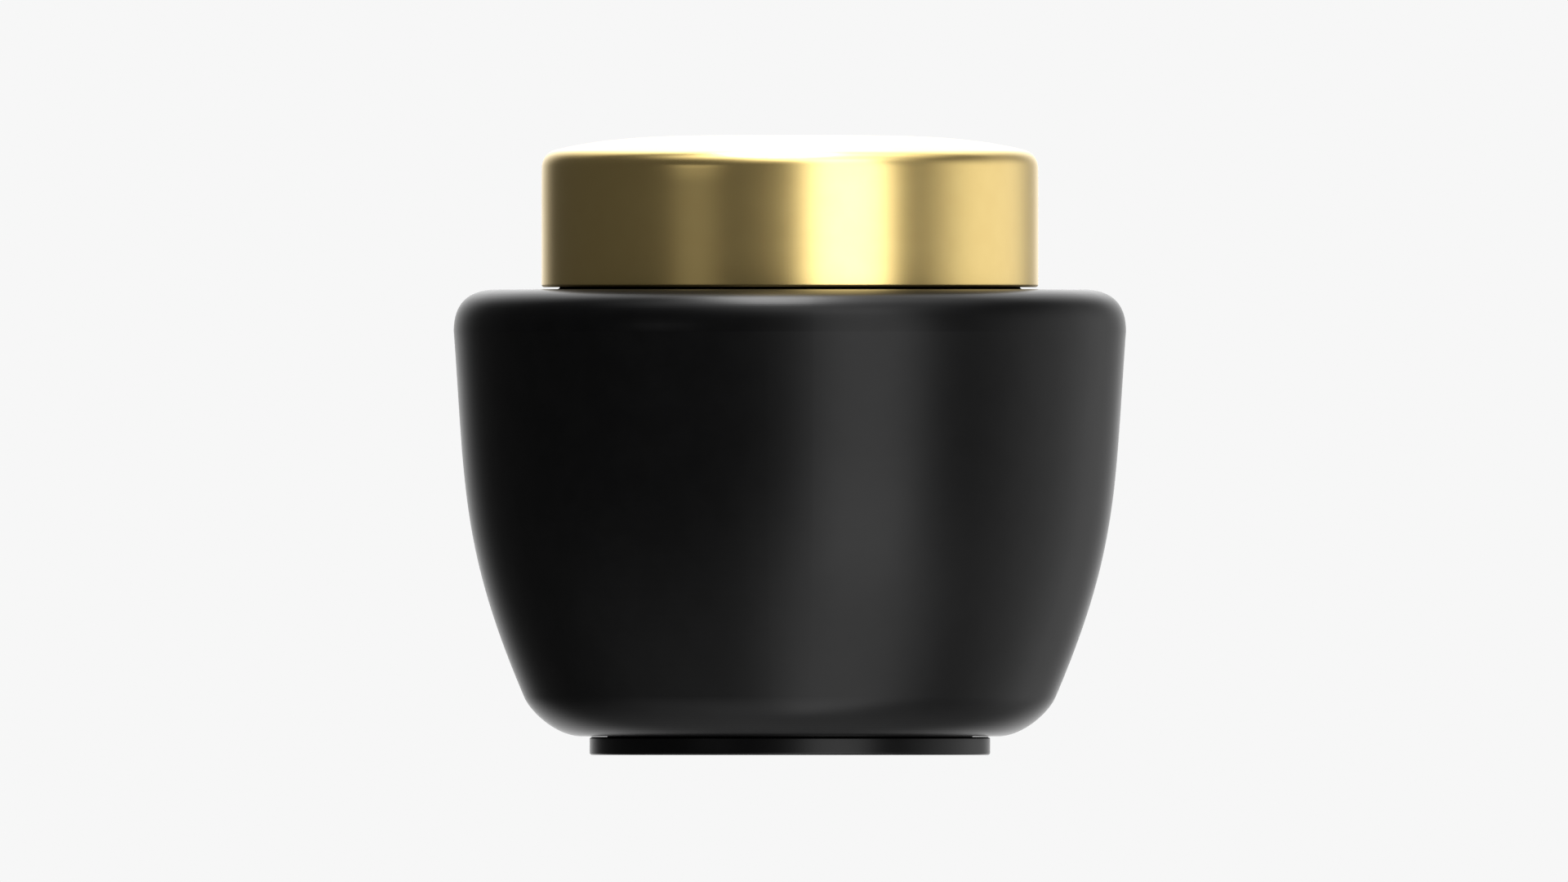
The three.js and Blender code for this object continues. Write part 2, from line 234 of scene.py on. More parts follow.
@dataclass(frozen=True)
class Thread:
    """A two-start screw thread, raised from a round wall."""

    wall: float
    crest: float
    start_height: float
    start_angle: float = 0.0
    starts: int = 2
    turns: float = 0.5
    lead: float = 8.466
    base: float = 1.9
    top: float = 0.9
    sink: float = 0.3
    run_out: float = 30.0

    def raised(self, radius: Array, height: Array, angle: Array) -> Array:
        """Raises the ridges on a grid.

        A ridge's height over the wall eases from its foot to its crest with the distance from
        its centre line, which climbs evenly with the angle, and fades out over its two ends.

        Args:
            radius: radius of each grid point.
            height: height of each grid point.
            angle: angle of each grid point, in degrees.

        Returns:
            The new radius of each grid point.
        """
        outward = math.copysign(1.0, self.crest - self.wall)
        sunk = self.wall - outward * self.sink
        span = 360.0 * self.turns
        proud = np.zeros_like(radius)
        for start in range(self.starts):
            run = (angle - self.start_angle - 360.0 * start / self.starts) % 360.0
            keep = np.clip(np.minimum(run, span - run) / self.run_out, 0.0, 1.0)
            centre = self.start_height + self.lead * run / 360.0
            foot, crest = self.base / 2 * keep, self.top / 2 * keep
            width = np.maximum(foot - crest, ALIKE)
            share = smooth((foot - np.abs(height - centre)) / width)
            tall = abs(self.crest - sunk) * keep * share - self.sink
            proud = np.maximum(proud, np.where(keep > 0, tall, 0.0))
        return radius + outward * proud


@dataclass(frozen=True)
class Blocks:
    """Blocks or notches spaced evenly round the axis."""

    count: int
    width: float
    depth: float
    at_radius: float

    EDGE = 0.03

    def half_angle(self) -> float:
        """Half of the angle that one block takes up, in degrees."""
        return math.degrees(math.asin(self.width / 2 / self.at_radius))

    def centres(self) -> Array:
        """The blocks' angles in degrees; the first is on +X, a quarter turn from the front."""
        return 90.0 + 360.0 * np.arange(self.count) / self.count

    def edge_angles(self) -> Array:
        """Angles just inside and just outside each block's two sides, in degrees."""
        lip = math.degrees(self.EDGE / self.at_radius)
        offsets = np.array([-1, -1, 1, 1]) * self.half_angle() + np.array([-lip, 0, 0, lip])
        return ((self.centres()[:, None] + offsets) % 360.0).ravel()

    def inside(self, angle: Array) -> Array:
        """1 where an angle falls on a block and 0 elsewhere."""
        away = np.abs((angle[..., None] - self.centres() + 180.0) % 360.0 - 180.0)
        return (away.min(-1) <= self.half_angle() + SLACK).astype(float)


class Turning:
    """A surface turned about the Z axis: a grid of an outline's points by angles."""

    def __init__(
        self, line: Array, columns: int = COLUMNS, extra: Array | None = None
    ) -> None:
        """Spreads an outline round the axis in even columns and at extra angles in degrees."""
        even = np.arange(columns) * 360.0 / columns
        angles = even if extra is None else np.unique(np.round(np.concatenate([even, extra]), 5))
        shape = (len(line), len(angles))
        self.radius = np.broadcast_to(line[:, :1], shape).copy()
        self.height = np.broadcast_to(line[:, 1:], shape).copy()
        self.angle = np.broadcast_to(angles[None, :], shape)

    def thread(self, thread: Thread, low: float, high: float) -> "Turning":
        """Raises a thread on the rows that lie between two heights on its wall."""
        rows = (self.height[:, 0] > low) & (self.height[:, 0] < high)
        rows &= np.abs(self.radius[:, 0] - thread.wall) < SLACK
        self.radius[rows] = thread.raised(self.radius[rows], self.height[rows], self.angle[rows])
        return self

    def blocks(self, blocks: Blocks, low: float, high: float, reach: float) -> "Turning":
        """Moves the wall outwards on the blocks, between two heights and inside a radius."""
        rows = (self.height[:, 0] > low) & (self.height[:, 0] < high)
        rows &= (self.radius[:, 0] < reach) & (self.radius[:, 0] > blocks.at_radius - blocks.depth)
        self.radius[rows] += blocks.depth * blocks.inside(self.angle[rows])
        return self

    def surface(self) -> "Surface":
        """Makes the closed surface.

        A grid point lies at radius times sine of its angle along X, minus radius times cosine
        along Y, and its own height along Z.
        """
        turn = np.radians(self.angle)
        x, y = self.radius * np.sin(turn), -self.radius * np.cos(turn)
        return closed_grid(np.stack([x, y, self.height], -1))


@dataclass(frozen=True)
class Surface:
    """Points in millimetres with faces of four and of three points."""

    places: Array
    quads: Array
    triangles: Array

    def plus(self, other: "Surface") -> "Surface":
        """Both surfaces as one, each still closed in itself."""
        shift = len(self.places)
        return Surface(
            np.vstack([self.places, other.places]),
            np.vstack([self.quads, other.quads + shift]),
            np.vstack([self.triangles, other.triangles + shift]),
        )

    def mesh(self, name: str) -> bpy.types.Mesh:
        """Puts the whole arrays into a mesh in metres, with smooth faces."""
        mesh = bpy.data.meshes.new(name)
        corners = np.concatenate([self.quads.ravel(), self.triangles.ravel()])
        counts = np.concatenate([np.full(len(self.quads), 4), np.full(len(self.triangles), 3)])
        starts = np.concatenate([[0], np.cumsum(counts)[:-1]])
        mesh.vertices.add(len(self.places))
        mesh.vertices.foreach_set("co", (self.places * MM).astype(np.float32).ravel())
        mesh.loops.add(len(corners))
        mesh.loops.foreach_set("vertex_index", corners.astype(np.int32))
        mesh.polygons.add(len(counts))
        mesh.polygons.foreach_set("loop_start", starts.astype(np.int32))
        mesh.polygons.foreach_set("use_smooth", np.ones(len(counts), bool))
        mesh.update(calc_edges=True)
        mesh.validate()
        return mesh


def closed_grid(points: Array) -> Surface:
    """Closes a grid of points into a surface like a ball's.

    Columns join round, and the first and last rows are one point each. A face looks along the
    column direction crossed with the row direction.

    Args:
        points: rows by columns by three.

    Returns:
        The closed surface.
    """
    rows, columns = points.shape[:2]
    places = np.vstack([points[0, :1], points[1:-1].reshape(-1, 3), points[-1, :1]])
    ring = 1 + np.arange((rows - 2) * columns).reshape(rows - 2, columns)
    after = np.roll(ring, -1, axis=1)
    quads = np.stack([ring[:-1], after[:-1], after[1:], ring[1:]], -1).reshape(-1, 4)
    first = np.column_stack([np.zeros(columns, int), after[0], ring[0]])
    last = np.column_stack([ring[-1], after[-1], np.full(columns, len(places) - 1)])
    return Surface(places, quads, np.vstack([first, last]))


# ---- shader groups


class Nodes:
    """A node tree with short ways to add and join nodes."""

    def __init__(self, tree: bpy.types.NodeTree) -> None:
        """Works on a tree."""
        self.tree = tree

    def add(self, kind: str, **settings: object) -> bpy.types.Node:
        """Adds a node by its type, without its ShaderNode prefix, and sets its properties."""
        prefix = "" if kind.startswith("NodeGroup") else "ShaderNode"
        node = self.tree.nodes.new(prefix + kind)
        for name, value in settings.items():
            setattr(node, name, value)
        return node

    def join(self, source: object, target: Socket) -> None:
        """Links a socket to another, or sets it where the source is a plain value."""
        if isinstance(source, Socket):
            self.tree.links.new(source, target)
        else:
            target.default_value = source

    def feed(self, node: bpy.types.Node, **values: object) -> bpy.types.Node:
        """Links or sets a node's inputs by name (underscores for spaces) and gives the node."""
        for name, value in values.items():
            self.join(value, node.inputs[name.replace("_", " ")])
        return node

    def math(self, operation: str, *values: object) -> Socket:
        """Adds a Math node on sockets or numbers and gives its output."""
        node = self.add("Math", operation=operation)
        for value, socket in zip(values, node.inputs):
            self.join(value, socket)
        return node.outputs[0]

    def weighed(self, first: object, share: float, second: object) -> Socket:
        """A share of one value plus the rest of another."""
        parts = [self.math("MULTIPLY", first, share), self.math("MULTIPLY", second, 1.0 - share)]
        return self.math("ADD", *parts)

    def eased(self, value: object, low: object, high: object) -> Socket:
        """0 at low and 1 at high, eased between them; low may be above high."""
        node = self.add("MapRange", interpolation_type="SMOOTHSTEP")
        return self.feed(node, Value=value, From_Min=low, From_Max=high).outputs["Result"]

    def ranged(self, value: object, low: float, high: float) -> Socket:
        """A 0 to 1 value spread evenly over a range."""
        node = self.feed(self.add("MapRange"), Value=value, To_Min=low, To_Max=high)
        return node.outputs["Result"]

    def noise(self, vector: object, scale: object, detail: float) -> Socket:
        """Adds a noise texture and gives its value."""
        node = self.feed(self.add("TexNoise"), Vector=vector, Scale=scale, Detail=detail)
        return node.outputs[0]

    def place(self) -> Socket:
        """The shaded point in the part's frame, in metres."""
        return self.add("TexCoord").outputs["Object"]

    def split(self, vector: Socket) -> tuple[Socket, ...]:
        """The three parts of a vector."""
        return tuple(self.feed(self.add("SeparateXYZ"), Vector=vector).outputs)

    def group(self, group: bpy.types.NodeTree, **values: object) -> bpy.types.Node:
        """Places a node group, with its inputs fed by name."""
        return self.feed(self.add("Group", node_tree=group), **values)


class Group(Nodes):
    """A shader group with number inputs and outputs."""

    def __init__(self, name: str, inputs: dict[str, float], outputs: Sequence[str]) -> None:
        """Makes the empty group, whose inputs have usual values."""
        super().__init__(bpy.data.node_groups.new(name, "ShaderNodeTree"))
        for label, value in inputs.items():
            self._socket(label, "INPUT").default_value = value
        for label in outputs:
            self._socket(label, "OUTPUT")
        self.given = self.add("NodeGroupInput").outputs
        self.made = self.add("NodeGroupOutput").inputs

    def _socket(self, label: str, way: str) -> bpy.types.NodeTreeInterfaceSocket:
        """Adds a number socket to the group's outside."""
        return self.tree.interface.new_socket(label, in_out=way, socket_type="NodeSocketFloat")

    def scale(self) -> Socket:
        """The texture scale that gives features of the size of the input "Size mm"."""
        return self.math("DIVIDE", 1.0 / MM, self.given["Size mm"])


class SurfaceEffects:
    """The effects that the finishes share, each built once as a shader group."""

    # Noise eases to a tone between these; blotches are BLOTCH times as broad as the grain.
    TONE_EASE, BLOTCH = (0.3, 0.7), 14.0
    # Rubbed patches begin at a peak less their cover, and ease over a range.
    RUB_PEAK, RUB_EASE = 0.75, 0.4
    # A lathe's marks: their change round the axis, and the scale of their broad bands.
    ROUND_SCALE, BROAD_MARKS = 60.0, 0.12
    CELL_EASE, WALL_EASE = (0.0, 0.6), (0.25, 0.7)

    def __init__(self) -> None:
        """Builds the groups."""
        self.grain = self._grain()
        self.handling = self._handling()
        self.turning = self._turning()
        self.band = self._band()
        self.cells = self._cells()

    def _grain(self) -> bpy.types.NodeTree:
        """Even fine grain, such as a bead-blasted mould leaves: noise, and broader blotches."""
        group = Group("fine_grain", {"Size mm": 0.2}, ("Height", "Tone"))
        scale, place = group.scale(), group.place()
        group.join(group.noise(place, scale, 2.0), group.made["Height"])
        broad = group.noise(place, group.math("DIVIDE", scale, self.BLOTCH), 3.0)
        group.join(group.eased(broad, *self.TONE_EASE), group.made["Tone"])
        return group.tree

    def _handling(self) -> bpy.types.NodeTree:
        """Soft patches where fingers have rubbed: broad noise kept to its peaks."""
        group = Group("handling_marks", {"Size mm": 9.0, "Cover": 0.4}, ("Mask",))
        low = group.math("SUBTRACT", self.RUB_PEAK, group.given["Cover"])
        high = group.math("ADD", low, self.RUB_EASE)
        rubbed = group.noise(group.place(), group.scale(), 1.0)
        group.join(group.eased(rubbed, low, high), group.made["Mask"])
        return group.tree

    def _turning(self) -> bpy.types.NodeTree:
        """Marks of a lathe: noise that changes fast outwards and up, and slowly round the axis."""
        group = Group("turning_marks", {"Size mm": 0.08}, ("Height", "Tone"))
        x, y, z = group.split(group.place())
        squares = group.math("ADD", group.math("MULTIPLY", x, x), group.math("MULTIPLY", y, y))
        scale = group.scale()
        across = group.add("CombineXYZ")
        parts = (group.math("SQRT", squares), scale), (z, scale), (y, self.ROUND_SCALE)
        for pair, socket in zip(parts, across.inputs):
            group.join(group.math("MULTIPLY", *pair), socket)
        fine = group.noise(across.outputs[0], 1.0, 2.0)
        broad = group.noise(across.outputs[0], self.BROAD_MARKS, 3.0)
        group.join(fine, group.made["Height"])
        group.join(group.eased(broad, *self.TONE_EASE), group.made["Tone"])
        return group.tree

    def _band(self) -> bpy.types.NodeTree:
        """A level band: 1 between two heights, easing to 0 over a soft width at both ends."""
        inputs = {"Low mm": 0.0, "High mm": 1.0, "Soft mm": 0.2}
        group = Group("height_band", inputs, ("Mask",))
        low, high, soft = (group.given[label] for label in inputs)
        height = group.math("DIVIDE", group.split(group.place())[2], MM)
        rise = group.eased(height, group.math("SUBTRACT", low, soft), low)
        fall = group.eased(height, group.math("ADD", high, soft), high)
        group.join(group.math("MULTIPLY", rise, fall), group.made["Mask"])
        return group.tree

    def _cells(self) -> bpy.types.NodeTree:
        """Closed foam cells: the distance to the nearest of scattered points, rounded off."""
        group = Group("foam_cells", {"Size mm": 0.3}, ("Height", "Mask"))
        node = group.add("TexVoronoi")
        away = group.feed(node, Vector=group.place(), Scale=group.scale()).outputs["Distance"]
        group.join(group.eased(away, *self.CELL_EASE), group.made["Height"])
        group.join(group.eased(away, *self.WALL_EASE), group.made["Mask"])
        return group.tree


# ---- finishes


class Paint(Nodes):
    """A material's nodes, round one Principled shader."""

    def __init__(self, name: str) -> None:
        """Makes the material and its shader."""
        self.material = bpy.data.materials.new(name)
        self.material.use_nodes = True
        super().__init__(self.material.node_tree)
        self.tree.nodes.clear()
        self.shader = self.add("BsdfPrincipled")
        self.feed(self.add("OutputMaterial"), Surface=self.shader.outputs[0])

    def set(self, **values: object) -> None:
        """Links or sets the shader's inputs by name."""
        self.feed(self.shader, **values)

    def tint(self, share: object, first: Triple, second: Triple) -> None:
        """Colours the shader between two colours by a 0 to 1 share."""
        node = self.add("Mix", data_type="RGBA")
        # A Mix node's colours are its inputs 6 and 7, and its output 2.
        for source, socket in ((share, 0), ((*first, 1.0), 6), ((*second, 1.0), 7)):
            self.join(source, node.inputs[socket])
        self.set(Base_Color=node.outputs[2])

    def roughen(self, share: object, low: float, high: float) -> None:
        """Spreads the shader's roughness over a range by a 0 to 1 share."""
        self.set(Roughness=self.ranged(share, low, high))

    def raise_by(self, height: object, depth: float) -> None:
        """Raises the shader's surface by a 0 to 1 height, of a depth in millimetres."""
        bump = self.feed(self.add("Bump"), Strength=1.0, Distance=depth * MM, Height=height)
        self.set(Normal=bump.outputs[0])


class Finish:
    """A finish, whose kinds say how they dress their shader."""

    name: str

    def dress(self, paint: Paint, effects: SurfaceEffects) -> None:
        """Adds what makes the finish to a material's nodes."""
        raise NotImplementedError

    def material(self, effects: SurfaceEffects) -> bpy.types.Material:
        """Builds the finish's material with the shared groups."""
        paint = Paint(self.name)
        self.dress(paint, effects)
        return paint.material


@dataclass(frozen=True)
class MouldedPlastic(Finish):
    """Injection-moulded plastic with a fine grain and handling marks."""

    name: str
    colour: Triple
    shade: Triple
    roughness: Point
    grain: float = 0.22
    depth: float = 0.0006
    marks: float = 0.4
    marks_share: float = 0.7
    index: float = 1.5
    translucence: float = 0.0
    scatter: Triple = (1.0, 0.9, 0.8)
    scatter_depth: float = 0.6

    def dress(self, paint: Paint, effects: SurfaceEffects) -> None:
        """Grain tones and raises it, and handling marks polish it."""
        grain = paint.group(effects.grain, Size_mm=self.grain)
        marks = paint.group(effects.handling, Cover=self.marks)
        paint.tint(grain.outputs["Tone"], self.colour, self.shade)
        blend = paint.weighed(marks.outputs["Mask"], self.marks_share, grain.outputs["Tone"])
        paint.roughen(blend, *self.roughness)
        paint.set(IOR=self.index)
        if self.translucence:
            paint.set(
                Subsurface_Weight=self.translucence,
                Subsurface_Radius=self.scatter,
                Subsurface_Scale=self.scatter_depth * MM,
            )
        paint.raise_by(grain.outputs["Height"], self.depth)


@dataclass(frozen=True)
class AnodisedAluminium(Finish):
    """Drawn aluminium, satin-etched and given a gold dye, with painted shade that slightly deepens
    its colour at the hem.
    """

    name: str
    colour: Triple
    # deep is the deeper gold that the etch's tone varies towards, and that the painted shade at the
    # hem darkens towards.
    deep: Triple
    roughness: Point
    # hem holds the heights of the band of painted shade at the lid's bottom edge.
    hem: Point
    hem_soft: float = 0.12
    hem_painted_shade: float = 0.6
    etch: float = 0.16
    etch_dye: float = 0.35
    draw_marks: float = 0.5
    marks: float = 0.32
    marks_share: float = 0.6
    depth: float = 0.0004

    def dress(self, paint: Paint, effects: SurfaceEffects) -> None:
        """Etched grain raises it, painted shade darkens its hem, and draw marks and handling vary
        its roughness.
        """
        etch = paint.group(effects.grain, Size_mm=self.etch)
        drawn = paint.group(effects.turning, Size_mm=self.draw_marks)
        low, high = self.hem
        hem = paint.group(effects.band, Low_mm=low, High_mm=high, Soft_mm=self.hem_soft)
        marks = paint.group(effects.handling, Cover=self.marks)
        etched = paint.math("MULTIPLY", etch.outputs["Tone"], self.etch_dye)
        # Painted shade: the hem band darkens the gold towards its deeper colour, standing in for
        # the shade at the dark gap above the shoulder.
        hem_shade = paint.math("MULTIPLY", hem.outputs["Mask"], self.hem_painted_shade)
        paint.tint(paint.math("MAXIMUM", etched, hem_shade), self.colour, self.deep)
        blend = paint.weighed(marks.outputs["Mask"], self.marks_share, drawn.outputs["Tone"])
        paint.roughen(blend, *self.roughness)
        paint.set(Metallic=1.0)
        paint.raise_by(etch.outputs["Height"], self.depth)


@dataclass(frozen=True)
class TurnedSteel(Finish):
    """Zinc-plated steel with turning marks."""

    name: str
    colour: Triple
    shade: Triple
    roughness: Point
    marks: float = 0.09
    dull_size: float = 6.0
    dull_cover: float = 0.45
    depth: float = 0.002

    def dress(self, paint: Paint, effects: SurfaceEffects) -> None:
        """Turning marks raise and tone it, and handling dulls it."""
        marks = paint.group(effects.turning, Size_mm=self.marks)
        dull = paint.group(effects.handling, Size_mm=self.dull_size, Cover=self.dull_cover)
        paint.tint(marks.outputs["Tone"], self.colour, self.shade)
        paint.roughen(dull.outputs["Mask"], *self.roughness)
        paint.set(Metallic=1.0)
        paint.raise_by(marks.outputs["Height"], self.depth)


@dataclass(frozen=True)
class FoamSheet(Finish):
    """Die-cut sheet of closed-cell foam."""

    name: str
    colour: Triple
    shade: Triple
    roughness: Point = (0.85, 0.95)
    cell: float = 0.32
    depth: float = 0.06

    def dress(self, paint: Paint, effects: SurfaceEffects) -> None:
        """Cells dimple it, and shade it between them."""
        cells = paint.group(effects.cells, Size_mm=self.cell)
        paint.tint(cells.outputs["Mask"], self.colour, self.shade)
        paint.roughen(cells.outputs["Mask"], *self.roughness)
        paint.raise_by(cells.outputs["Height"], self.depth)


# ---- sub-assemblies


def linked(name: str, data: bpy.types.ID) -> bpy.types.Object:
    """Adds an object to the scene, at the origin."""
    thing = bpy.data.objects.new(name, data)
    bpy.context.scene.collection.objects.link(thing)
    return thing


def place(
    mesh: bpy.types.Mesh, node: str, body: Body, slot: Slot, material: bpy.types.Material
) -> None:
    """Puts a piece into the scene in place of its CAD node.

    Args:
        mesh: the piece's mesh, in its place in the part's frame.
        node: the CAD node that it stands for.
        body: the CAD body that it rides on.
        slot: the record's material slot for the piece; not used.
        material: its finish.
    """
    piece = linked(mesh.name, mesh)
    mesh.materials.append(material)
    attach(piece, body.value)
    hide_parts(node)
    log.info("%s: %d faces, rides on %s", piece.name, len(mesh.polygons), body.value)


def flat_disc(radius: float, low: float, high: float, edge: float) -> Surface:
    """A flat disc of a radius between two heights, with rounded edges."""
    outline = Outline().to(0.0, low).to(radius, low, edge).to(radius, high, edge)
    return Turning(outline.to(0.0, high).points(), columns=DISC_COLUMNS).surface()


class Assembly:
    """A sub-assembly of the jar."""

    def build(self, effects: SurfaceEffects) -> None:
        """Builds the sub-assembly's pieces, each with its finish from the shared groups."""
        raise NotImplementedError


@dataclass
class HeavyWallJar(Assembly):
    """The black jar: heavy outer wall, collar, cup bore and pocket for the weight."""

    finish: MouldedPlastic
    under_radius: float = 22.5
    under_height: float = 2.0
    heel: tuple[Point, ...] = ((25.19, 2.17), (27.78, 4.65), (28.45, 6.2))
    belly: tuple[Point, ...] = ((35.27, 22.15), (34.78, 28.78), (36.0, 45.4))
    brow: tuple[Point, ...] = ((36.0, 47.83), (34.97, 49.80), (31.5, 49.85))
    curve_steps: tuple[int, int, int] = (20, 44, 24)
    shoulder_height: float = 49.9
    collar_radius: float = 24.65
    collar_height: float = 51.6
    bore_radius: float = 22.2
    bore_floor: float = 9.8
    bore_round: float = 0.6
    pocket_radius: float = 19.8
    pocket_height: float = 6.8
    pocket_round: float = 0.4
    edge: float = 0.25
    lip: float = 0.2
    notch: Blocks = Blocks(count=4, width=3.0, depth=1.1, at_radius=22.2)
    notch_floor: float = 50.6

    def outline(self) -> Array:
        """The half section: pocket, underside, three curves to the shoulder, collar and bore."""
        outline = Outline().to(0.0, self.pocket_height)
        outline.across(self.pocket_radius, self.pocket_round)
        outline.rise(self.under_height, self.edge)
        outline.across(self.under_radius)
        for curve, steps in zip((self.heel, self.belly, self.brow), self.curve_steps):
            outline.curve(curve, steps)
        return (
            outline.to(self.collar_radius, self.shoulder_height, self.edge)
            .rise(self.collar_height, self.edge)
            .across(self.bore_radius, self.lip)
            .rise(self.notch_floor)
            .rise(self.notch_floor - 2 * Blocks.EDGE)
            .rise(self.bore_floor, self.bore_round)
            .across(0.0)
            .points()
        )

    def build(self, effects: SurfaceEffects) -> None:
        """Turns the jar and cuts the four notches that hold the cup's keys."""
        turning = Turning(self.outline(), columns=FINE_COLUMNS, extra=self.notch.edge_angles())
        low, reach = self.notch_floor - Blocks.EDGE, self.bore_radius + self.edge
        turning.blocks(self.notch, low, self.collar_height + self.edge, reach)
        mesh = turning.surface().mesh("heavy_wall_jar")
        place(mesh, "outer_jar", Body.JAR, Slot.JAR_BLACK, self.finish.material(effects))


@dataclass
class WeightedFoot(Assembly):
    """The foot plug with its spigot, and the steel weight that stands in it."""

    finish: MouldedPlastic
    steel: TurnedSteel
    foot_radius: float = 21.45
    foot_top: float = 1.87
    foot_round: float = 0.28
    ledge_radius: float = 21.25
    ledge_top: float = 1.96
    ledge_round: float = 0.05
    land_radius: float = 17.45
    recess: float = 0.6
    spigot_radius: float = 19.5
    spigot_wall: float = 1.3
    spigot_top: float = 5.15
    floor: float = 2.4
    gate_radius: float = 2.2
    gate_depth: float = 0.25
    edge: float = 0.15
    lip: float = 0.3
    weight: Triple = (17.9, 2.6, 6.6)

    def plug_outline(self) -> Array:
        """The plug's half section, with a shallow dimple under it where it was gated."""
        inner = self.spigot_radius - self.spigot_wall
        return (
            Outline()
            .to(0.0, self.recess + self.gate_depth)
            .across(self.gate_radius, self.edge)
            .to(self.gate_radius + self.gate_depth, self.recess, self.edge)
            .across(self.land_radius, 0.2)
            .rise(0.0, 0.2)
            .across(self.foot_radius, self.foot_round)
            .rise(self.foot_top, self.edge)
            .across(self.ledge_radius, self.ledge_round)
            .rise(self.ledge_top, self.ledge_round)
            .across(self.spigot_radius, 0.1)
            .rise(self.spigot_top, self.lip)
            .across(inner, self.lip)
            .rise(self.floor, self.edge)
            .across(0.0)
            .points()
        )

    def build(self, effects: SurfaceEffects) -> None:
        """Turns the plug and the weight."""
        plug = Turning(self.plug_outline()).surface().mesh("foot_plug")
        place(plug, "base_plug", Body.JAR, Slot.FOOT_BLACK, self.finish.material(effects))
        weight = flat_disc(*self.weight, self.lip).mesh("steel_weight")
        place(weight, "base_weight", Body.JAR, Slot.BASE_STEEL, self.steel.material(effects))


@dataclass
class WhiteCup(Assembly):
    """The inner cup: floor, wall, keys under its flange, threaded neck and rounded rim."""

    finish: MouldedPlastic
    under: float = 10.0
    floor: float = 11.5
    outer_radius: float = 21.9
    inner_radius: float = 20.4
    corner: float = 5.0
    flange_radius: float = 24.2
    flange_low: float = 51.8
    flange_high: float = 53.0
    flange_round: float = 0.2
    neck_round: float = 0.3
    rim: float = 60.2
    rim_round: float = 0.4
    key: Blocks = Blocks(count=4, width=2.4, depth=1.1, at_radius=21.9)
    key_low: float = 50.9
    thread: Thread = Thread(wall=22.6, crest=23.8, start_height=54.75)

    def outline(self) -> Array:
        """The half section, finer along the neck so that the thread's edges come out clean."""
        line = (
            Outline()
            .to(0.0, self.under)
            .across(self.outer_radius, self.corner)
            .rise(self.key_low - 2 * Blocks.EDGE)
            .rise(self.key_low)
            .rise(self.flange_low)
            .across(self.flange_radius, self.flange_round)
            .rise(self.flange_high, self.flange_round)
            .across(self.thread.wall, self.neck_round)
            .rise(self.rim, self.rim_round)
            .across(self.inner_radius, self.rim_round)
            .rise(self.floor, self.corner)
            .across(0.0)
            .points()
        )
        neck_low, neck_high = self.flange_high + self.neck_round, self.rim - self.rim_round
        return finer_between(line, neck_low, neck_high, THREAD_STEP)

    def build(self, effects: SurfaceEffects) -> None:
        """Turns the cup, raises its thread and sets its keys."""
        turning = Turning(self.outline(), columns=FINE_COLUMNS, extra=self.key.edge_angles())
        turning.thread(self.thread, self.flange_high + self.flange_round, self.rim - self.rim_round)
        low, reach = self.key_low - Blocks.EDGE, self.outer_radius + CLEAR
        turning.blocks(self.key, low, self.flange_low + CLEAR, reach)
        mesh = turning.surface().mesh("white_cup")
        place(mesh, "inner_cup", Body.JAR, Slot.CUP_WHITE, self.finish.material(effects))


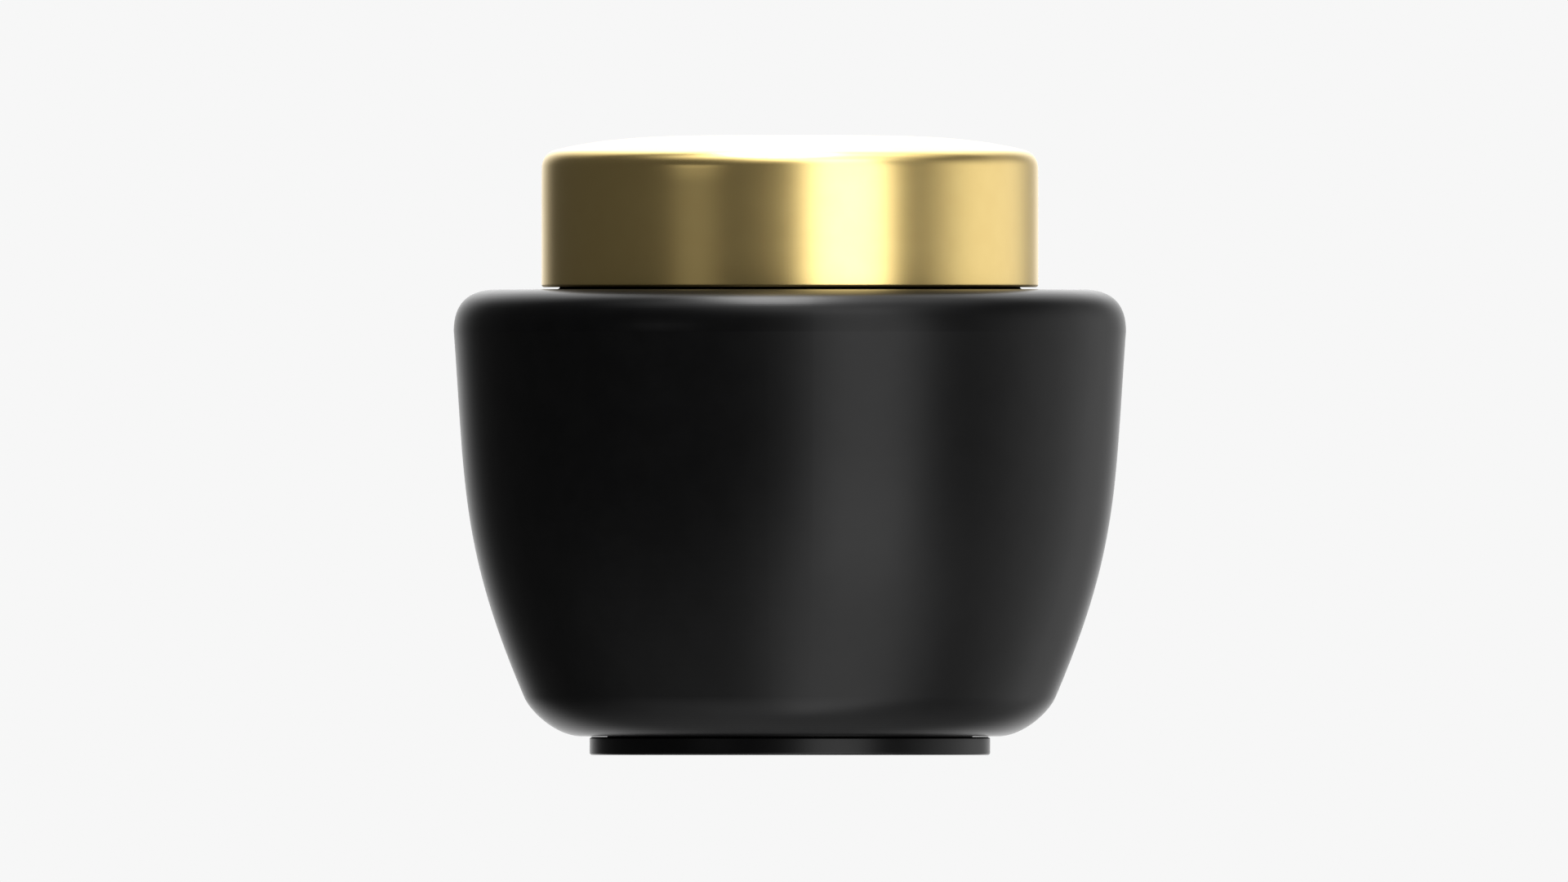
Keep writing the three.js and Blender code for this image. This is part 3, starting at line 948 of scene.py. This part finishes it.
@dataclass
class PullTabDisc(Assembly):
    """The sealing disc: a flange on the rim, a dish inside the cup and a tab to lift it by."""

    finish: MouldedPlastic
    radius: float = 22.3
    low: float = 60.4
    high: float = 61.2
    dish_radius: float = 19.9
    dish_floor_radius: float = 18.9
    dish_low: float = 57.4
    tab_width: float = 12.0
    tab_height: float = 2.5
    tab_sink: float = 0.4
    tab_thickness: float = 1.2
    tab_round: float = 0.35
    tab_steps: int = 32
    edge_rings: int = 7
    face_rings: Triple = (0.0, 0.45, 0.9)

    def outline(self) -> Array:
        """The half section of the dished disc, of even thickness."""
        thick = self.high - self.low
        return (
            Outline()
            .to(0.0, self.dish_low)
            .across(self.dish_floor_radius, 0.9)
            .to(self.dish_radius, self.low, 0.25)
            .across(self.radius, 0.2)
            .rise(self.high, 0.2)
            .across(self.dish_radius - thick, 0.6)
            .to(self.dish_floor_radius - thick, self.dish_low + thick, 0.3)
            .across(0.0)
            .points()
        )

    def tab_edge(self) -> Array:
        """The tab's outline: an arch of two quadratic curves, closed by a straight base."""
        half, tall, sink = self.tab_width / 2, self.tab_height, self.tab_sink
        t = np.linspace(0.0, 1.0, self.tab_steps + 1)[:-1, None]
        corners = np.array(
            [[(-half, -sink), (-half, tall), (0, tall)], [(0, tall), (half, tall), (half, -sink)]]
        )
        arch = [(1 - t) ** 2 * a + 2 * t * (1 - t) * b + t**2 * c for a, b, c in corners]
        base = np.array([(half, -sink)]) + t * np.array([(-self.tab_width, 0.0)])
        return np.vstack([*arch, base])

    def tab(self) -> Surface:
        """The tab, filled and rounded all round its edge.

        Each ring is the outline moved in by the edge radius less its cosine share, and across
        by its sine share; the rings close on a point in the middle of each face.
        """
        edge, count, faces = self.tab_edge(), self.edge_rings, len(self.face_rings)
        along = np.roll(edge, -1, 0) - np.roll(edge, 1, 0)
        along /= np.linalg.norm(along, axis=1, keepdims=True)
        outward = np.column_stack([-along[:, 1], along[:, 0]])
        middle = np.array([0.0, self.tab_height / 2])
        quarter = np.linspace(-90, 0, count)
        tilt = np.radians(np.concatenate([quarter, -quarter[::-1]]))
        side = np.repeat([-1.0, 1.0], count)
        rings = edge - outward * (self.tab_round * (1 - np.cos(tilt)))[:, None, None]
        face = middle + (rings[0] - middle) * np.array(self.face_rings)[:, None, None]
        flat = np.concatenate([face, rings, face[::-1]])
        deep = self.tab_thickness / 2 - self.tab_round
        across = side * deep + self.tab_round * np.sin(tilt)
        across = np.concatenate([np.full(faces, across[0]), across, np.full(faces, across[-1])])
        floor = self.dish_low + self.high - self.low
        grid = np.empty((*flat.shape[:2], 3))
        grid[..., 0], grid[..., 2] = flat[..., 0], flat[..., 1] + floor
        grid[..., 1] = across[:, None]
        return closed_grid(grid)

    def build(self, effects: SurfaceEffects) -> None:
        """Turns the disc and stands the tab in its dish."""
        mesh = Turning(self.outline()).surface().plus(self.tab()).mesh("pull_tab_disc")
        place(mesh, "sealing_disc", Body.DISC, Slot.DISC_WHITE, self.finish.material(effects))


@dataclass
class ScrewLid(Assembly):
    """The lid: foam wad, threaded inner cap, steel plate and the gold overshell."""

    gold: AnodisedAluminium
    black: MouldedPlastic
    steel: TurnedSteel
    foam: FoamSheet
    shell_radius: float = 26.6
    shell_low: float = 50.1
    shell_high: float = 66.35
    shell_thick: float = 0.5
    hem_radius: float = 25.45
    hem_round: float = 0.3
    dome_drop: float = 1.57
    dome_power: float = 4.0
    dome_steps: int = 28
    turn_reach: float = 1.5
    turn_fall: float = 1.78
    turn_leave: Point = (0.54, 0.1)
    turn_arrive: float = 0.5
    turn_steps: int = 14
    lean: float = 0.035
    lean_height: float = 1.8
    lean_steps: int = 8
    cap_radius: float = 25.8
    lip_radius: float = 25.0
    cap_low: float = 50.8
    lip_high: float = 53.4
    ceiling: float = 62.6
    cap_high: float = 63.8
    bead: Triple = (23.25, 60.3, 61.2)
    rib: Triple = (18.3, 19.1, 64.4)
    edge: float = 0.15
    corner: float = 0.2
    wad: Triple = (23.65, 61.4, 62.4)
    plate: Triple = (18.0, 64.0, 65.0)
    thread: Thread = Thread(wall=24.15, crest=22.95, start_height=54.73, start_angle=60.0)

    def dome(self, inset: float) -> Array:
        """Points of the shell's dome and top edge, from the axis out to its straight side.

        The dome falls from its middle with the fourth power of the share of its radius, a cubic
        curve rounds it down into the side, and the side's top leans in with the square of the
        height, as the draw of the shell leaves it.

        Args:
            inset: how far inside the shell's outside they lie.

        Returns:
            Rows of radius and height.
        """
        side, top = self.shell_radius - inset, self.shell_high - inset
        edge, edge_z = side - self.turn_reach, top - self.dome_drop
        share = np.linspace(0.0, 1.0, self.dome_steps + 1)[:-1]
        crown = np.column_stack([edge * share, top - self.dome_drop * share**self.dome_power])
        out, down = self.turn_leave
        leave = (edge + self.turn_reach * out, edge_z - self.turn_fall * down)
        arrive = (side - 2 * self.lean, edge_z - self.turn_fall * self.turn_arrive)
        end = (side - self.lean, edge_z - self.turn_fall)
        turn = Outline().to(edge, edge_z).curve((leave, arrive, end), self.turn_steps)
        fall = np.linspace(0.0, 1.0, self.lean_steps + 1)[1:]
        lean = np.column_stack(
            [side - self.lean * (1 - fall) ** 2, end[1] - self.lean_height * fall]
        )
        return np.vstack([crown, turn.given(), lean])

    def shell_outline(self) -> Array:
        """The overshell's half section: inside of the dome, down, round the hem and back up."""
        thick, outline = self.shell_thick, Outline()
        for radius, height in self.dome(thick).tolist():
            outline.to(radius, height)
        outline.to(self.shell_radius - thick, self.shell_low + thick, 0.1)
        outline.across(self.hem_radius, self.corner)
        outline.rise(self.shell_low, self.corner)
        outline.across(self.shell_radius, self.hem_round)
        for radius, height in self.dome(0.0)[::-1].tolist():
            outline.to(radius, height)
        return outline.points()

    def cap_outline(self) -> Array:
        """The inner cap's half section, finer along the wall that carries the thread."""
        bead_r, bead_low, bead_high = self.bead
        rib_in, rib_out, rib_high = self.rib
        wall = self.thread.wall
        line = (
            Outline()
            .to(0.0, self.ceiling)
            .across(wall, 0.3)
            .rise(bead_high, 0.1)
            .to(bead_r, (bead_low + bead_high) / 2, self.corner)
            .to(wall, bead_low, 0.1)
            .rise(self.lip_high, self.corner)
            .across(self.lip_radius, self.corner)
            .rise(self.cap_low, self.edge)
            .across(self.cap_radius, 0.25)
            .rise(self.cap_high, self.turn_fall)
            .across(rib_out, self.edge)
            .rise(rib_high, self.edge)
            .across(rib_in, self.edge)
            .rise(self.cap_high, self.edge)
            .across(0.0)
            .points()
        )
        return finer_between(line, self.lip_high + self.corner, bead_low - CLEAR, THREAD_STEP)

    def build(self, effects: SurfaceEffects) -> None:
        """Turns the lid's four pieces, from the inside out."""
        wad = flat_disc(*self.wad, self.edge).mesh("foam_wad")
        place(wad, "lid_wad", Body.WAD, Slot.WAD_FOAM, self.foam.material(effects))
        turning = Turning(self.cap_outline(), columns=FINE_COLUMNS)
        turning.thread(self.thread, self.lip_high + CLEAR, self.bead[1] - CLEAR)
        cap = turning.surface().mesh("threaded_inner_cap")
        place(cap, "inner_cap", Body.LID, Slot.CAP_BLACK, self.black.material(effects))
        plate = flat_disc(*self.plate, self.edge).mesh("steel_lid_plate")
        place(plate, "lid_plate", Body.LID, Slot.LID_STEEL, self.steel.material(effects))
        turning = Turning(self.shell_outline(), columns=FINE_COLUMNS)
        shell = turning.surface().mesh("gold_overshell")
        place(shell, "lid_overshell", Body.LID, Slot.LID_GOLD, self.gold.material(effects))


# ---- studio


@dataclass(frozen=True)
class Softbox:
    """A soft bright window in the studio's surround, by azimuth and elevation in degrees.

    Azimuth 0 is the side that the camera stands on, and it grows towards the right.
    """

    name: str
    azimuth: float
    half_width: float
    elevation: float
    half_height: float
    brightness: float
    soft: float


@dataclass
class Studio:
    """The pale surround, its softboxes, an overhead lamp, the floor and the camera."""

    fill: float = 0.08
    softboxes: tuple[Softbox, ...] = (
        Softbox("key", 27.5, 19.0, 10.0, 38.0, 2.8, 8.0),
        Softbox("right_wall", 110.0, 33.0, -5.0, 30.0, 1.1, 20.0),
        Softbox("left_strip", -45.0, 10.0, 8.0, 4.0, 0.9, 3.0),
        Softbox("back_wall", 180.0, 13.0, 35.0, 55.0, 3.0, 25.0),
        Softbox("back_ceiling", 180.0, 40.0, 50.0, 15.0, 1.8, 16.0),
        Softbox("front_ceiling", 20.0, 40.0, 50.0, 4.0, 3.6, 20.0),
        Softbox("ceiling", 25.0, 120.0, 90.0, 24.0, 4.0, 25.0),
        Softbox("table_front", 30.0, 33.0, -75.0, 55.0, 2.6, 22.0),
        Softbox("table_back", 180.0, 25.0, -28.0, 12.0, 0.4, 10.0),
        Softbox("table_left", -40.0, 55.0, -60.0, 35.0, 0.45, 25.0),
        Softbox("table", 0.0, 210.0, -90.0, 35.0, 0.8, 25.0),
    )
    backdrop: float = 0.930
    lamp_place: Triple = (-0.09, -0.03, 1.5)
    lamp_size: Point = (0.40, 1.05)
    lamp_radiance: float = 15.0
    floor_radius: float = 0.36
    floor_rings: int = 12
    floor_columns: int = 96
    floor_fade: Point = (0.10, 0.33)
    floor_tooth: float = 900.0
    floor_tone: tuple[Triple, Triple] = ((0.53, 0.53, 0.53), (0.51, 0.51, 0.51))
    view_width: float = 0.1679
    view_centre: Point = (-0.00063, 0.03363)
    view_distance: float = 1.0

    def window(self) -> bpy.types.NodeTree:
        """A group that gives a softbox's mask: 1 inside its two half angles, eased at its edge."""
        inputs = dict.fromkeys(("Azimuth", "Elevation", "Centre Azimuth", "Centre Elevation"), 0.0)
        inputs |= {"Half Width": 10.0, "Half Height": 10.0, "Soft": 5.0}
        group = Group("softbox_window", inputs, ("Mask",))
        given, soft = group.given, group.given["Soft"]
        off = group.math("SUBTRACT", given["Azimuth"], given["Centre Azimuth"])
        wrapped = group.math("ABSOLUTE", group.math("WRAP", off, 180.0, -180.0))
        rise = group.math("SUBTRACT", given["Elevation"], given["Centre Elevation"])
        sides = (wrapped, "Half Width"), (group.math("ABSOLUTE", rise), "Half Height")
        masks = []
        for away, label in sides:
            outer = group.math("ADD", given[label], soft)
            inner = group.math("SUBTRACT", given[label], soft)
            masks.append(group.eased(away, outer, inner))
        group.join(group.math("MULTIPLY", *masks), group.made["Mask"])
        return group.tree

    def surround(self) -> None:
        """Builds the world: the backdrop for the camera, and softboxes for everything else."""
        world = bpy.data.worlds.new("studio_surround")
        bpy.context.scene.world = world
        world.use_nodes = True
        world.node_tree.nodes.clear()
        nodes = Nodes(world.node_tree)
        x, y, z = nodes.split(nodes.add("TexCoord").outputs["Generated"])
        azimuth = nodes.math("ARCTAN2", x, nodes.math("MULTIPLY", y, -1.0))
        azimuth = nodes.math("DEGREES", azimuth)
        elevation = nodes.math("DEGREES", nodes.math("ARCSINE", z))
        window = self.window()
        light: object = self.fill
        for box in self.softboxes:
            mask = nodes.group(window, Azimuth=azimuth, Elevation=elevation, Soft=box.soft)
            nodes.feed(mask, Centre_Azimuth=box.azimuth, Half_Width=box.half_width)
            nodes.feed(mask, Centre_Elevation=box.elevation, Half_Height=box.half_height)
            mask.label = box.name
            light = nodes.math("MULTIPLY_ADD", mask.outputs["Mask"], box.brightness, light)
        studio = nodes.feed(nodes.add("Background"), Strength=light)
        backdrop = nodes.feed(nodes.add("Background"), Color=(self.backdrop,) * 3 + (1.0,))
        mix, seen = nodes.add("MixShader"), nodes.add("LightPath").outputs["Is Camera Ray"]
        for source, socket in zip((seen, studio.outputs[0], backdrop.outputs[0]), mix.inputs):
            nodes.join(source, socket)
        nodes.feed(nodes.add("OutputWorld"), Surface=mix.outputs[0])

    def lamp(self) -> None:
        """Hangs the overhead lamp, an evenly bright rectangle that faces down."""
        data = bpy.data.lights.new("overhead_lamp", "AREA")
        data.shape = "RECTANGLE"
        data.size, data.size_y = self.lamp_size
        data.energy = self.lamp_radiance * math.pi * self.lamp_size[0] * self.lamp_size[1]
        linked("overhead_lamp", data).location = self.lamp_place

    def floor(self) -> None:
        """Lays a round pale floor whose edge fades out into the backdrop."""
        rings, columns = self.floor_rings, self.floor_columns
        turn = np.radians(np.arange(columns) * 360.0 / columns)
        radius = np.linspace(0.0, self.floor_radius, rings + 1)[1:, None]
        x, y = radius * np.sin(turn), -radius * np.cos(turn)
        places = np.vstack([[[0, 0, 0]], np.stack([x, y, 0 * x], -1).reshape(-1, 3)]) / MM
        ring = 1 + np.arange(rings * columns).reshape(rings, columns)
        after = np.roll(ring, -1, 1)
        quads = np.stack([ring[:-1], ring[1:], after[1:], after[:-1]], -1).reshape(-1, 4)
        middle = np.column_stack([np.zeros(columns, int), ring[0], after[0]])
        floor = linked("floor", Surface(places, quads, middle).mesh("floor"))
        floor.data.materials.append(self.floor_material())
        floor.visible_glossy = False
        floor.visible_shadow = False
        floor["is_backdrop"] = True

    def floor_material(self) -> bpy.types.Material:
        """Matt pale paper, with a faint tooth, fading with the distance from the middle."""
        paint = Paint("pale_floor")
        place_socket = paint.place()
        paint.tint(paint.noise(place_socket, self.floor_tooth, 2.0), *self.floor_tone)
        length = paint.feed(paint.add("VectorMath", operation="LENGTH"), Vector=place_socket)
        near, far = self.floor_fade
        shown = paint.eased(length.outputs["Value"], far, near)
        paint.set(Alpha=shown, Roughness=1.0, Specular_IOR_Level=0.0)
        return paint.material

    def camera(self) -> None:
        """Sets up the level camera, which looks straight at the front without perspective."""
        data = bpy.data.cameras.new("level_camera")
        data.type = "ORTHO"
        data.ortho_scale = self.view_width
        camera = linked("level_camera", data)
        camera.location = (self.view_centre[0], -self.view_distance, self.view_centre[1])
        camera.rotation_euler = (math.pi / 2, 0.0, 0.0)
        bpy.context.scene.camera = camera

    def build(self) -> None:
        """Sets up the whole studio, with colours shown as they are."""
        self.surround()
        self.lamp()
        self.floor()
        self.camera()
        bpy.context.scene.view_settings.view_transform = "Standard"
        log.info("studio: %d softboxes and an overhead lamp", len(self.softboxes))


# ---- the jar


def jar_black(name: str, index: float) -> MouldedPlastic:
    """The black of the jar and its foot: very dark, satin and faintly cold."""
    dark, pale = (0.0010, 0.0010, 0.0011), (0.0016, 0.0016, 0.0017)
    return MouldedPlastic(name, dark, pale, (0.31, 0.29), index=index)


class CreamJar:
    """The whole jar: its sub-assemblies and their finishes."""

    def __init__(self) -> None:
        """Chooses the finishes."""
        weight_steel = TurnedSteel(
            "base_weight_steel", (0.46, 0.46, 0.47), (0.38, 0.38, 0.40), (0.34, 0.46)
        )
        cup_white = MouldedPlastic(
            "cup_white", (0.84, 0.835, 0.81), (0.80, 0.795, 0.765), (0.32, 0.26), translucence=0.25
        )
        disc_white = MouldedPlastic(
            "disc_white",
            (0.80, 0.79, 0.755),
            (0.75, 0.74, 0.70),
            (0.42, 0.36),
            grain=0.35,
            depth=0.002,
            translucence=0.3,
        )
        # The last pair is the band at the lid's hem, in millimetres up, where painted shade darkens
        # the gold.
        gold = AnodisedAluminium(
            "satin_gold", (0.97, 0.73, 0.29), (0.93, 0.68, 0.26), (0.27, 0.25), (50.0, 50.45)
        )
        cap_black = MouldedPlastic(
            "cap_black", (0.008, 0.008, 0.0085), (0.012, 0.012, 0.0125), (0.5, 0.44)
        )
        plate_steel = TurnedSteel(
            "lid_plate_steel", (0.50, 0.50, 0.50), (0.42, 0.42, 0.43), (0.30, 0.42)
        )
        foam = FoamSheet("white_foam", (0.80, 0.79, 0.75), (0.66, 0.65, 0.61))
        self.assemblies: tuple[Assembly, ...] = (
            HeavyWallJar(jar_black("satin_black", 1.30)),
            WeightedFoot(jar_black("foot_black", 1.31), weight_steel),
            WhiteCup(cup_white),
            PullTabDisc(disc_white),
            ScrewLid(gold, cap_black, plate_steel, foam),
        )

    def build(self) -> None:
        """Builds every piece, from the foot up."""
        effects = SurfaceEffects()
        for assembly in self.assemblies:
            assembly.build(effects)


def corners() -> list[list[float]]:
    """The lowest and highest corners of what is shown, as plain numbers."""
    return [list(corner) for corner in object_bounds()]


def main() -> None:
    """Builds the jar and its studio."""
    logging.basicConfig(level=logging.INFO, format="%(name)s: %(message)s")
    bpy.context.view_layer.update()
    CreamJar().build()
    Studio().build()


if __name__ == "__main__":
    main()
